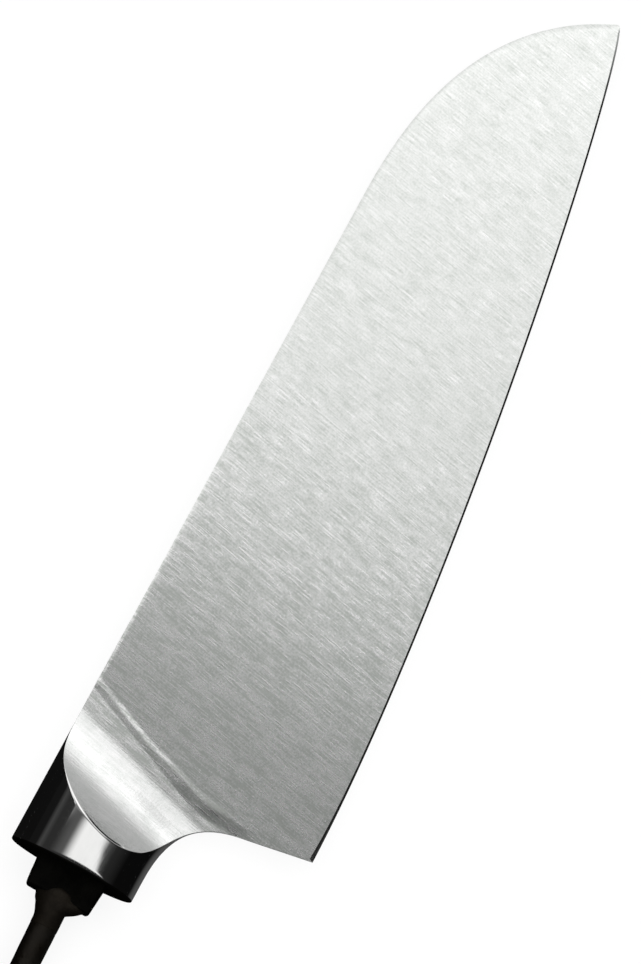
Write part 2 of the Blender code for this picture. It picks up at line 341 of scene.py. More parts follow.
def ground_z(x, y):
    """Half the thickness of the ground steel, from the sweep over the neck and the plunge line to the flank.

    The sweep's parabola runs out into the neck, which keeps a gentle fall and a faint ripple. A shallow
    valley follows the plunge line and widens forward towards the choil. Ahead of it an uneven crest drops the
    last tenth of a millimetre to the flank. The crest grows lower and breaks up on its way down.
    """
    slanted = x * cos(SWEEP_SLANT) + (SPINE_Y - y) * sin(SWEEP_SLANT)
    along = x * sin(SWEEP_SLANT) + y * cos(SWEEP_SLANT)
    sweep = max(0.0, SWEEP_REACH - slanted - NECK_SLOPE * SWEEP_RADIUS) ** 2 / (2 * SWEEP_RADIUS)
    past = (x - plunge_x(y)) * cos(SEAM_SLANT)
    neck = NECK_SLOPE * max(0.0, -past - VALLEY_HALF)
    ripple = noise.noise(Vector((slanted / RIPPLE_PITCH, along / RIPPLE_LENGTH, 0.0))) * RIPPLE_DEPTH
    ripple *= smooth_step(0.5 - past / CREST_WIDTH)

    low = smooth_step(-y / SPINE_Y)
    near_line = smooth_step(1 + past / UNEVEN_WIDTH)
    front = VALLEY_HALF + VALLEY_WIDENING * low
    slope = VALLEY_SLOPE + VALLEY_STEEPENING * low
    slope += VALLEY_LOW_STEEPENING * smooth_step((UNDERSIDE_Y - y) / VALLEY_LOW_LENGTH)
    shallow = VALLEY_UNEVENNESS * noise.noise(Vector((along / CREST_PATCH, 3.0, 0.0)))
    there = 1 - smooth_step((PLUNGE_FADE_FROM - y) / PLUNGE_FADE_LENGTH)
    valley = slope * (1 + shallow * near_line) * there * max(0.0, min(front - past, front + VALLEY_HALF))

    uneven = CREST_UNEVENNESS * noise.noise(Vector((along / CREST_PATCH, 7.0, 0.0)))
    crest = CREST_DROP * (1 + uneven * (1 + CREST_BREAKS * low) * near_line)
    crest *= 1 - CREST_LOSS * smooth_step((CREST_LOSS_FROM - y) / CREST_LOSS_LENGTH)
    crest *= 1 - CREST_UPPER_LOSS * smooth_step((y - CREST_UPPER_FROM) / CREST_UPPER_LENGTH)
    crest *= 1 - smooth_step((CREST_FADE_FROM - y) / CREST_FADE_LENGTH)
    crest *= 1 - smooth_step((past - front) / CREST_WIDTH)
    return flank_z(x, y) + sweep + neck + crest - valley + ripple


# Meshes


def add_rings(shape, rings):
    """A closed tube through rings of equal counts. Returns its faces, a list for each step, and its caps."""
    rows = [[shape.verts.new(point) for point in ring] for ring in rings]
    bands = []
    for near, far in zip(rows, rows[1:]):
        band = []
        for side in range(len(near)):
            after = (side + 1) % len(near)
            band.append(shape.faces.new((near[side], near[after], far[after], far[side])))
        bands.append(band)
    caps = [shape.faces.new(reversed(rows[0])), shape.faces.new(rows[-1])]
    return bands, caps


def finish_piece(shape, name, node, materials, sharp_degrees):
    """Turn a bmesh about the datum into the piece that stands for a CAD node."""
    bmesh.ops.remove_doubles(shape, verts=shape.verts, dist=MERGE_DISTANCE)
    bmesh.ops.dissolve_degenerate(shape, edges=shape.edges, dist=MERGE_DISTANCE)
    bmesh.ops.recalc_face_normals(shape, faces=shape.faces)
    bmesh.ops.translate(shape, verts=shape.verts, vec=DATUM)
    mesh = bpy.data.meshes.new(name)
    shape.to_mesh(mesh)
    shape.free()
    mesh.shade_smooth()
    mesh.set_sharp_from_angle(angle=radians(sharp_degrees))
    piece = bpy.data.objects.new(name, mesh)
    bpy.context.scene.collection.objects.link(piece)
    for material in materials:
        mesh.materials.append(material)
    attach(piece, "root")
    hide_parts(node)


def crowded_at_end(count):
    """Steps from 0 to 1, closer together towards 1."""
    return [sin(pi / 2 * (index / count)) for index in range(count + 1)]


def crowded_at_both_ends(count):
    """Steps from 0 to 1, closer together towards both."""
    return [(1 - cos(pi * (index / count))) / 2 for index in range(count + 1)]


# Bolster


def oval_point(upper, lower, angle, fraction):
    """A point of the oval surface, whose section grows squarer at the spine on its way to the neck."""
    power = 1.0
    if cos(angle) > 0.0:
        power = 2 / (2 + NECK_SQUARENESS * smooth_step((fraction - NECK_SQUARE_FROM) / NECK_SQUARE_LENGTH))
    share = (1 - copysign(abs(cos(angle)) ** power, cos(angle))) / 2
    place = point_along(upper, fraction).lerp(point_along(lower, fraction), share)
    return place, copysign(BOLSTER_THICKNESS / 2 * abs(sin(angle)) ** power, sin(angle))


def rim_fraction(upper, lower, angle):
    """How far forward the oval surface runs before the sweep cuts it."""
    low, high = 0.0, 1.0
    for _ in range(RIM_SEARCH_STEPS):
        middle = (low + high) / 2
        place, height = oval_point(upper, lower, angle, middle)
        if abs(height) > ground_z(*place):
            high = middle
        else:
            low = middle
    return low


def rim_ease(y):
    """How widely the rim of the sweep is rounded. It is softest on its way up to the spine."""
    begun = smooth_step((y - RIM_UPPER_FROM) / RIM_UPPER_FADE)
    ended = smooth_step((y - RIM_UPPER_TO) / RIM_UPPER_FADE)
    return RIM_EASE + (RIM_UPPER_EASE - RIM_EASE) * begun * (1 - ended)


def rear_rings(angles):
    """Rings over the bolster's eased rear edge."""
    rings = []
    for step in range(EASE_STEPS):
        turn = pi / 2 * step / EASE_STEPS
        x = REAR_EASE * (1 - cos(turn))
        inset = 1 - (REAR_EASE * (1 - sin(turn)) + REAR_CROWN) / SPINE_Y
        half_thickness = BOLSTER_THICKNESS / 2 * inset
        rings.append([(x, SPINE_Y * cos(angle) * inset, half_thickness * sin(angle)) for angle in angles])
    return rings


def bolster_rings():
    """Rings from the rear face to the seam, many of them near the rim, and the ring where the polish ends."""
    upper, lower = bolster_outline()
    angles = [2 * pi * side / BOLSTER_SIDES for side in range(BOLSTER_SIDES)]
    angles = [angle - SIDE_CROWDING * sin(2 * angle) for angle in angles]
    rims = [rim_fraction(upper, lower, angle) for angle in angles]
    polished = sorted(crowded_at_end(POLISHED_STEPS) + EXTRA_REAR_SHARES)
    swept = crowded_at_both_ends(SWEPT_STEPS)
    rings = rear_rings(angles)
    for step, share in enumerate(polished + swept[1:]):
        before_rim = step < len(polished)
        ring = []
        for angle, rim in zip(angles, rims):
            fraction = rim * share if before_rim else rim + (1 - rim) * share
            place, height = oval_point(upper, lower, angle, fraction)
            if before_rim:
                place.x += REAR_EASE * (1 - share)
            crown = max(0.0, 1 - (place.x - REAR_EASE) / REAR_CROWN_LENGTH) ** 2
            inset = 1 - REAR_CROWN * crown / SPINE_Y
            place.y *= inset
            height *= inset
            eased = soft_min(abs(height), ground_z(*place), rim_ease(place.y))
            ring.append((place.x, place.y, eased if height > 0 else -eased))
        rings.append(ring)
    return rings, EASE_STEPS + len(polished) - 1 + POLISHED_PAST_RIM


def make_bolster(polished, ground, scale):
    """The bolster: polished sides, ground sweep, and scale on its rear face and eased rear edge."""
    rings, rim_ring = bolster_rings()
    shape = bmesh.new()
    bands, caps = add_rings(shape, rings)
    for band in bands[rim_ring:]:
        for face in band:
            face.material_index = 1
    for face in [caps[0]] + sum(bands[:EASE_STEPS], []):
        face.material_index = 2
    materials = [polished, ground, scale]
    finish_piece(shape, "bolster_ground", "bolster", materials, sharp_degrees=24.0)


# Blade


def blade_stations(reach):
    """Distances ahead of the seam at which the blade's cross-rows lie."""
    heel = ahead(HEEL)
    stations = [NECK_PITCH * step for step in range(round(NECK_SPAN / NECK_PITCH))]
    stations += [NECK_SPAN + CHOIL_PITCH * step for step in range(int((heel - NECK_SPAN) / CHOIL_PITCH) + 1)]
    stations += [heel - HEEL_GAP, heel + HEEL_GAP]
    stations += [heel + EDGE_PITCH * (step + 1) for step in range(EDGE_ROWS)]
    last = stations[-1]
    stations += [last + (reach - last) * share for share in crowded_at_end(TIP_ROWS)[1:]]
    stations[-1] = reach - TIP_GAP
    return stations


def flank_profile(length, ease, low, on_edge):
    """One flank's rows from the spine down: distance, share of the ground height, and what is added to that.

    The spine is eased over the first width, and the last one holds the edge's straight bevel or the eased
    choil.
    """
    profile = []
    for step in range(SPINE_STEPS):
        turn = pi / 2 * step / (SPINE_STEPS - 1)
        profile.append((ease * (1 - cos(turn)), 1.0, -SPINE_EASE * (1 - sin(turn))))
    clear = length - ease - low
    for step in range(1, FLANK_STEPS):
        profile.append((ease + clear * step / FLANK_STEPS, 1.0, 0.0))
    for step in range(EASE_STEPS):
        share = step / (EASE_STEPS - 1)
        if on_edge:
            profile.append((length - low * (1 - share), 1 - share, EDGE_FLAT / 2 * share))
        else:
            turn = pi / 2 * share
            profile.append((length - low * (1 - sin(turn)), 1.0, -CHOIL_EASE * (1 - cos(turn))))
    return profile


def blade_rings():
    """Rings round slanted sections of the blade, and whether each one reaches down to the cutting edge."""
    upper, lower = blade_outline()
    heel = ahead(HEEL)
    rings = []
    honed = []
    for station in blade_stations(ahead(upper[-1])):
        top, top_way = at_ahead(upper, station)
        bottom, bottom_way = at_ahead(lower, station)
        length = (bottom - top).length
        down = (bottom - top) / length
        on_edge = station > heel
        low_width = CHOIL_EASE
        if on_edge:
            low_width = BEVEL_WIDTH + HEEL_BEVEL_EXTRA * exp((heel - station) / HEEL_BEVEL_FADE)
        ease = SPINE_EASE_WIDTH / abs(down.cross(top_way))
        low = low_width / abs(down.cross(bottom_way))
        fit = min(1.0, EASED_SHARE * length / (ease + low))
        ring = []
        for distance, share, added in flank_profile(length, ease * fit, low * fit, on_edge):
            place = top + down * distance
            ring.append((place.x, place.y, max(EDGE_FLAT / 2, ground_z(*place) * share + added)))
        ring += [(x, y, -z) for x, y, z in reversed(ring)]
        rings.append(ring)
        honed.append(on_edge)
    return rings, honed


def make_blade(ground, honed_steel):
    """The blade: ground flanks, and a honed bevel along the cutting edge."""
    rings, honed = blade_rings()
    shape = bmesh.new()
    bands, _ = add_rings(shape, rings)
    middle = len(rings[0]) // 2
    for band, on_edge in zip(bands, honed):
        for face in band[middle - EASE_STEPS : middle + EASE_STEPS - 1]:
            face.material_index = int(on_edge)
    finish_piece(shape, "blade_ground", "blade", [ground, honed_steel], sharp_degrees=9.0)


# Tang


def roughened(point, size, depth):
    """A point moved by a small fixed noise, like forged and scaled steel."""
    return point + noise.noise_vector(point / size) * depth


def refined(ring):
    """A block's ring with extra points along its tall and thin sides."""
    fine = []
    for index, point in enumerate(ring):
        after = ring[(index + 1) % len(ring)]
        length = (after - point).length
        count = 1
        if length > BLOCK_TALL_SIDE_FROM:
            count = BLOCK_TALL_SIDE_STEPS
        elif length > BLOCK_THIN_SIDE_FROM:
            count = BLOCK_THIN_SIDE_STEPS
        fine += [point.lerp(after, step / count) for step in range(count)]
    return fine


def block_rings():
    """Rounded rectangles from inside the bolster's face to the block's rear, which is rounded too."""
    straight = [BLOCK_SEAT, 0.0] + [BLOCK_REAR_X * step / BLOCK_STEPS for step in range(1, BLOCK_STEPS - 1)]
    rows = [(x, 0.0) for x in straight if x > BLOCK_REAR_X + BLOCK_CORNER]
    for step in range(BLOCK_CORNER_STEPS + 1):
        turn = pi / 2 * step / BLOCK_CORNER_STEPS
        rows.append((BLOCK_REAR_X + BLOCK_CORNER * (1 - sin(turn)), BLOCK_CORNER * (1 - cos(turn))))
    rings = []
    for x, shrink in rows:
        corner = max(BLOCK_CORNER_LEAST, BLOCK_CORNER - shrink)
        across = BLOCK_HEIGHT / 2 - max(0.0, -x) * tan(BLOCK_TAPER) - shrink - corner
        out = BLOCK_THICKNESS / 2 - shrink - corner
        ring = []
        for quarter, (sign_y, sign_z) in enumerate(((1, 1), (-1, 1), (-1, -1), (1, -1))):
            centre = Vector((x, sign_y * across - BLOCK_DROP, sign_z * out))
            for step in range(BLOCK_CORNER_STEPS):
                turn = pi / 2 * (quarter + step / (BLOCK_CORNER_STEPS - 1))
                ring.append(centre + Vector((0.0, corner * cos(turn), corner * sin(turn))))
        rings.append(refined(ring))
    return rings


def make_block(scale):
    """The forged block behind the bolster."""
    rings = []
    for ring in block_rings():
        rings.append([roughened(point, BLOCK_LUMP_SIZE, BLOCK_UNEVENNESS) for point in ring])
    shape = bmesh.new()
    add_rings(shape, rings)
    finish_piece(shape, "tang_block_forged", "tang_block", [scale], sharp_degrees=40.0)


def on_rod(distance, y, z):
    """A point at a distance behind the block, off the rod's leaning axis."""
    lean = Matrix.Rotation(ROD_LEAN, 3, "Z")
    return lean @ Vector((-distance, y, z)) + Vector((BLOCK_REAR_X, -ROD_DROP, 0.0))


def make_rod(scale):
    """A slim drawn rod with a slight waviness, ending in a half-round."""
    end_radius = ROD_END_DIAMETER / 2
    straight = ROD_LENGTH - end_radius
    profile = []
    for step in range(ROD_STEPS + 1):
        distance = straight * step / ROD_STEPS
        radius = ROD_ROOT_DIAMETER / 2 + (ROD_END_DIAMETER - ROD_ROOT_DIAMETER) / 2 * distance / ROD_LENGTH
        profile.append((distance, radius))
    for step in range(1, ROD_END_STEPS):
        turn = pi / 2 * step / ROD_END_STEPS
        profile.append((straight + end_radius * sin(turn), end_radius * cos(turn)))
    rings = []
    for distance, radius in profile:
        ring = []
        for side in range(ROUND_SIDES):
            angle = 2 * pi * side / ROUND_SIDES
            point = on_rod(distance, radius * cos(angle), radius * sin(angle))
            ring.append(roughened(point, ROD_LUMP_SIZE, min(ROD_UNEVENNESS, radius / 4)))
        rings.append(ring)
    shape = bmesh.new()
    add_rings(shape, rings)
    finish_piece(shape, "tang_rod_drawn", "tang_rod", [scale], sharp_degrees=40.0)


def bead_reach(distance, height, reach):
    """How far the bead stands off the rod's axis: a straight flare that runs into the rod."""
    rod = ROD_ROOT_DIAMETER / 2
    flare = rod + (height - rod) * (1 - distance / reach)
    return -soft_min(-flare, -rod, BEAD_BLEND)


def make_bead(scale):
    """The lumpy weld bead: flared down to the block's lower corner, and lapped over the block's rear edge."""
    rings = []
    for step in range(BEAD_STEPS + 1):
        distance = -BEAD_LAP + (BEAD_LAP + BEAD_END) * step / BEAD_STEPS
        lap = max(BEAD_LAP_LEAST, 1 - (min(0.0, distance) / BEAD_LAP) ** 2) ** 0.5
        upper = bead_reach(distance, BEAD_UPPER_HEIGHT, BEAD_UPPER_REACH) * lap
        lower = bead_reach(distance, BEAD_LOWER_HEIGHT, BEAD_LOWER_REACH)
        lower = min(lower, BEAD_LOWER_HEIGHT) * lap
        thick = bead_reach(max(0.0, distance), BEAD_HALF_THICKNESS, BEAD_UPPER_REACH)
        thick += (lap - 1) * BEAD_PROUD
        lumps = BEAD_LUMPS * (1 - smooth_step(distance / BEAD_END)) + ROD_UNEVENNESS
        ring = []
        for side in range(ROUND_SIDES):
            angle = 2 * pi * side / ROUND_SIDES
            across = cos(angle) * (upper if cos(angle) > 0 else lower)
            ring.append(roughened(on_rod(distance, across, thick * sin(angle)), BEAD_LUMP_SIZE, lumps))
        rings.append(ring)
    middle = on_rod(BEAD_END, 0.0, 0.0)
    rings.append([middle.lerp(point, BEAD_END_INSET) for point in rings[-1]])
    shape = bmesh.new()
    add_rings(shape, rings)
    finish_piece(shape, "tang_weld_bead", "tang_weld", [scale], sharp_degrees=50.0)


# Materials

WHITE = (1.0, 1.0, 1.0, 1.0)
GRAIN_SLANT = radians(11.5)
SWEEP_FINISH_LENGTH = 3.0 * MM
COARSE_X = 32.0 * MM
FINE_X = 105.0 * MM
COARSENESS = 2.4

# Scales of the noises, per metre. Those with three are stretched into lines.
STREAKS = (3800.0, 230.0, 230.0)
BROAD_STREAKS = (900.0, 150.0, 150.0)
GRIT = 2600.0
MOTTLE = 520.0
PATCHES = 420.0
HONED_LINES = (300.0, 6000.0, 6000.0)
BUFFED_LINES = (400.0, 4000.0, 4000.0)
HAZE = 500.0
SCALE_PATCHES = 260.0
PITS = 2600.0


class Nodes:
    """A short way to write shader nodes: calls return output sockets, and inputs take values or sockets."""

    def __init__(self, tree):
        self.tree = tree

    def add(self, kind, inputs=(), output=0, **settings):
        node = self.tree.nodes.new(kind)
        for name, value in settings.items():
            setattr(node, name, value)
        for key, value in dict(inputs).items():
            if isinstance(value, bpy.types.NodeSocket):
                self.tree.links.new(value, node.inputs[key])
            else:
                node.inputs[key].default_value = value
        return node.outputs[output] if node.outputs else None

    def place(self):
        """Where a point lies in its object's frame."""
        return self.add("ShaderNodeTexCoord", output="Object")

    def axes(self, vector):
        """The outputs X, Y and Z of a vector."""
        return self.add("ShaderNodeSeparateXYZ", {0: vector}).node.outputs

    def rays(self):
        """The outputs that tell what kind of ray asks."""
        return self.add("ShaderNodeLightPath").node.outputs

    def math(self, operation, *values):
        return self.add("ShaderNodeMath", enumerate(values), operation=operation)

    def plus(self, first, second):
        return self.math("ADD", first, second)

    def minus(self, first, second):
        return self.math("SUBTRACT", first, second)

    def times(self, first, second):
        return self.math("MULTIPLY", first, second)

    def off(self, value, middle):
        """How far a value is from a middle one, to either side."""
        return self.math("ABSOLUTE", self.minus(value, middle))

    def highest(self, first, *others):
        for other in others:
            first = self.math("MAXIMUM", first, other)
        return first

    def remap(self, value, low, high, to_low=0.0, to_high=1.0, smooth=False):
        ends = {"Value": value, "From Min": low, "From Max": high, "To Min": to_low, "To Max": to_high}
        return self.add("ShaderNodeMapRange", ends, interpolation_type="SMOOTHSTEP" if smooth else "LINEAR")

    def noise(self, place, scale, detail=2.0, roughness=0.5):
        """Noise of one scale, or of one for each axis."""
        if isinstance(scale, tuple):
            place = self.add("ShaderNodeMapping", {"Vector": place, "Scale": scale})
            scale = 1.0
        settings = {"Vector": place, "Scale": scale, "Detail": detail, "Roughness": roughness}
        return self.add("ShaderNodeTexNoise", settings)

    def signed_noise(self, place, scale, detail=2.0):
        """Noise from -0.5 to 0.5."""
        return self.remap(self.noise(place, scale, detail), 0.25, 0.75, -0.5, 0.5)

    def mix(self, share, first, second):
        return self.add("ShaderNodeMix", {0: share, 6: first, 7: second}, output=2, data_type="RGBA")


def rgb(red, green, blue):
    return (red, green, blue, 1.0)


def new_material(name):
    material = bpy.data.materials.new(name)
    material.use_nodes = True
    material.node_tree.nodes.clear()
    return material, Nodes(material.node_tree)


def end_material(nodes, shader):
    nodes.add("ShaderNodeOutputMaterial", {"Surface": shader})


def end_bare_steel(nodes, colour, rough, **more):
    inputs = {"Base Color": colour, "Metallic": 1.0, "Roughness": rough, **more}
    end_material(nodes, nodes.add("ShaderNodeBsdfPrincipled", inputs))


def satin_steel():
    """Steel ground across the blade: fine streaks and scratches in soft patches, coarser towards the heel.

    The sweep has a paler and finer finish.
    """
    material, nodes = new_material("satin ground steel")
    place = nodes.place()
    across = nodes.add("ShaderNodeMapping", {"Vector": place, "Rotation": (0.0, 0.0, GRAIN_SLANT)})
    streak = nodes.signed_noise(across, STREAKS, detail=1.0)
    broad = nodes.noise(across, BROAD_STREAKS)
    grit = nodes.signed_noise(place, GRIT, detail=1.0)
    mottle = nodes.signed_noise(place, MOTTLE, detail=3.0)
    patch = nodes.remap(nodes.noise(place, PATCHES), 0.38, 0.62, 0.38, 1.0)
    coarse = nodes.remap(nodes.axes(place)["X"], DATUM.x + FINE_X, DATUM.x + COARSE_X, 1.0, COARSENESS)

    toward = (cos(SWEEP_SLANT), -sin(SWEEP_SLANT), 0.0)
    run_out = Vector(toward).dot(DATUM) + SWEEP_REACH - SPINE_Y * sin(SWEEP_SLANT)
    ends = {0: place, 1: toward}
    slanted = nodes.add("ShaderNodeVectorMath", ends, output="Value", operation="DOT_PRODUCT")
    swept = nodes.remap(slanted, run_out, run_out - SWEEP_FINISH_LENGTH, smooth=True)

    def from_flank_to_sweep(on_flank, in_sweep):
        return nodes.remap(swept, 0.0, 1.0, on_flank, in_sweep)

    cut = nodes.plus(nodes.times(streak, patch), nodes.times(grit, 0.5))
    grain = nodes.plus(nodes.times(cut, from_flank_to_sweep(0.9, 0.3)), nodes.times(mottle, 0.22))
    band = nodes.times(nodes.times(nodes.remap(broad, 0.3, 0.7, -0.10, 0.10), coarse), coarse)
    band = nodes.times(band, from_flank_to_sweep(1.0, 0.4))
    grain = nodes.plus(nodes.times(grain, coarse), band)
    shade = nodes.remap(grain, -0.5, 0.5)
    flank = nodes.mix(shade, rgb(0.66, 0.69, 0.655), rgb(0.955, 0.96, 0.95))
    sweep = nodes.mix(shade, rgb(0.85, 0.87, 0.85), rgb(0.99, 0.99, 0.985))
    rough = nodes.minus(from_flank_to_sweep(0.30, 0.20), nodes.times(grain, 0.06))
    height = nodes.plus(cut, nodes.times(mottle, from_flank_to_sweep(1.4, 0.3)))
    bump = nodes.add("ShaderNodeBump", {"Height": height, "Strength": 1.0, "Distance": 0.007 * MM})
    end_bare_steel(nodes, nodes.mix(swept, flank, sweep), rough, Normal=bump)
    return material


def honed_steel():
    """The honed bevel of the cutting edge: fine lines along the edge."""
    material, nodes = new_material("honed steel")
    lines = nodes.noise(nodes.place(), HONED_LINES)
    colour = nodes.mix(lines, rgb(0.62, 0.64, 0.62), rgb(0.80, 0.82, 0.80))
    end_bare_steel(nodes, colour, nodes.remap(lines, 0.3, 0.7, 0.10, 0.18))
    return material


def polished_steel():
    """Mirror-polished steel with the faint waviness and haze that buffing leaves."""
    material, nodes = new_material("mirror polished steel")
    place = nodes.place()
    haze = nodes.noise(place, HAZE)
    lines = nodes.noise(place, BUFFED_LINES)
    colour = nodes.mix(haze, rgb(0.90, 0.90, 0.89), rgb(0.95, 0.95, 0.94))
    bump = nodes.add("ShaderNodeBump", {"Height": haze, "Strength": 0.05, "Distance": 0.002 * MM})
    end_bare_steel(nodes, colour, nodes.remap(lines, 0.3, 0.7, 0.03, 0.07), Normal=bump)
    return material


def black_scale(name, darkest, palest, specular, tint, smoothest, roughest):
    """Black forge scale, finely pitted and mottled between two colours."""
    material, nodes = new_material(name)
    place = nodes.place()
    patches = nodes.noise(place, SCALE_PATCHES, detail=4.0, roughness=0.6)
    pits = nodes.noise(place, PITS, detail=3.0, roughness=0.6)
    worn = nodes.plus(patches, nodes.times(pits, 0.4))
    height = nodes.plus(nodes.times(pits, 0.3), patches)
    inputs = {
        "Base Color": nodes.mix(nodes.remap(patches, 0.36, 0.64), darkest, palest),
        "Roughness": nodes.remap(worn, 0.85, 0.55, smoothest, roughest),
        "Normal": nodes.add("ShaderNodeBump", {"Height": height, "Strength": 0.6, "Distance": 0.12 * MM}),
        "Specular IOR Level": specular,
        "Specular Tint": tint,
    }
    end_material(nodes, nodes.add("ShaderNodeBsdfPrincipled", inputs))
    return material


def forge_scale():
    darkest, palest = rgb(0.0003, 0.0003, 0.0002), rgb(0.0013, 0.0012, 0.0009)
    return black_scale("black forge scale", darkest, palest, 0.05, WHITE, 0.45, 0.65)


def browned_scale():
    darkest, palest = rgb(0.0004, 0.0003, 0.0002), rgb(0.0024, 0.0018, 0.0011)
    return black_scale("browned scale", darkest, palest, 0.52, rgb(1.0, 0.90, 0.78), 0.25, 0.60)


def weld_scale():
    darkest, palest = rgb(0.0012, 0.0009, 0.0006), rgb(0.0055, 0.0044, 0.0031)
    return black_scale("weld scale", darkest, palest, 0.22, rgb(1.0, 0.90, 0.78), 0.45, 0.65)


# Studio

FLOOR_REACH = 7.0
FLOOR_WHITE = 1.01
FLOOR_GLOW = 0.87
SUN_LEVEL = 0.95
SUN_SPREAD = radians(70.0)

# What the steel mirrors in the photograph's view: the sweep looks along one y, and the bolster's polished
# sides along one x, with a faint line at one height on the spine's side.
SWEEP_VIEW_Y = -0.24
BOLSTER_VIEW_X = 0.13
LINE_VIEW_Z = 0.58

CAMERA_PLACE = Vector((-162.23, 7.70, 858.5)) * MM
CAMERA_AIM = Vector((34.57, 6.56, 8.5)) * MM
CAMERA_ROLL = radians(28.442)
CAMERA_LENS = 177.37
CAMERA_SENSOR = 36.0
CAMERA_CLIP = (0.01, 50.0)


def studio_plane(name, corners, place, material):
    """A four-cornered studio plane. Its corners run from its place."""
    mesh = bpy.data.meshes.new(name)
    mesh.from_pydata(corners, [], [(0, 1, 2, 3)])
    mesh.materials.append(material)
    plane = bpy.data.objects.new(name, mesh)
    plane.location = place
    bpy.context.scene.collection.objects.link(plane)
    return plane


def only_in_reflections(obj):
    """A studio aid that stands out of the picture: seen in the steel, and casting no light or shadow."""
    obj.visible_camera = False
    obj.visible_diffuse = False
    obj.visible_transmission = False
    obj.visible_volume_scatter = False
    obj.visible_shadow = False


def make_floor():
    """A white floor that keeps a soft shadow. Only part of its white depends on the lamps."""
    material, nodes = new_material("white floor")
    rays = nodes.rays()
    seen = nodes.plus(nodes.plus(rays["Is Camera Ray"], rays["Is Glossy Ray"]), rays["Is Transmission Ray"])
    strength = nodes.times(nodes.math("MINIMUM", seen, 1.0), FLOOR_GLOW)
    glow = nodes.add("ShaderNodeEmission", {"Color": WHITE, "Strength": strength})
    grey = FLOOR_WHITE - FLOOR_GLOW
    lit = nodes.add("ShaderNodeBsdfDiffuse", {"Color": rgb(grey, grey, grey)})
    above = nodes.add("ShaderNodeAddShader", {0: glow, 1: lit})
    behind = nodes.add("ShaderNodeNewGeometry", output="Backfacing")
    clear = nodes.add("ShaderNodeBsdfTransparent")
    end_material(nodes, nodes.add("ShaderNodeMixShader", {0: behind, 1: above, 2: clear}))
    signs = ((-1, -1), (1, -1), (1, 1), (-1, 1))
    corners = [(x * FLOOR_REACH, y * FLOOR_REACH, 0.0) for x, y in signs]
    studio_plane("floor", corners, Vector(), material)


def make_world():
    """A studio room. The camera sees it white, and the steel sees it dark beside and above the bolster.

    It is white at the horizon, grey beyond the tip where the sweep looks, and mid grey elsewhere round the
    knife. A dark alley across the knife is what the bolster's polished sides see, and low down it is grey
    too, for the flanks when they are seen from the front or the back.
    """
    world = bpy.data.worlds.new("studio")
    world.use_nodes = True
    world.node_tree.nodes.clear()
    nodes = Nodes(world.node_tree)
    rays = nodes.rays()
    axis = nodes.axes(nodes.add("ShaderNodeTexCoord", output="Generated"))
    horizon = nodes.remap(axis["Z"], 0.035, 0.012)

    off_sweep_view = nodes.off(axis["Y"], SWEEP_VIEW_Y)
    tip_end = nodes.times(
        nodes.remap(axis["X"], 0.35, 0.85, 0.0, 0.43, smooth=True),
        nodes.remap(off_sweep_view, 0.30, 0.12, 0.15, 1.0, smooth=True),
    )

    line = nodes.remap(nodes.off(axis["Z"], LINE_VIEW_Z), 0.10, 0.0, 0.0, 0.034)
    spine_side = nodes.plus(nodes.remap(axis["Z"], 0.45, 0.65, 0.0075, 0.0245), line)
    edge_side = nodes.remap(axis["Z"], 0.47, 0.74, 0.0024, 0.017)
    beside = nodes.mix(nodes.math("GREATER_THAN", axis["Y"], 0.0), edge_side, spine_side)

    off_alley = nodes.remap(nodes.off(axis["X"], BOLSTER_VIEW_X), 0.22, 0.42, 0.0, 0.6, smooth=True)
    low_down = nodes.remap(axis["Z"], 0.45, 0.31, 0.0, 0.6, smooth=True)
    ceiling = nodes.remap(axis["X"], 0.2, -0.4, 0.42, 0.95)
    under_ceiling = nodes.remap(nodes.minus(axis["Z"], ceiling), 0.08, -0.06)
    behind = nodes.remap(axis["X"], 0.1, -0.1)
    open_way = nodes.highest(nodes.remap(off_sweep_view, 0.18, 0.38, smooth=True), behind)
    room = nodes.times(nodes.times(nodes.highest(off_alley, low_down), under_ceiling), open_way)
    room = nodes.times(room, rays["Is Glossy Ray"])

    level = nodes.highest(horizon, tip_end, beside, room, rays["Is Camera Ray"])
    background = nodes.add("ShaderNodeBackground", {"Color": WHITE, "Strength": level})
    nodes.add("ShaderNodeOutputWorld", {"Surface": background})
    bpy.context.scene.world = world


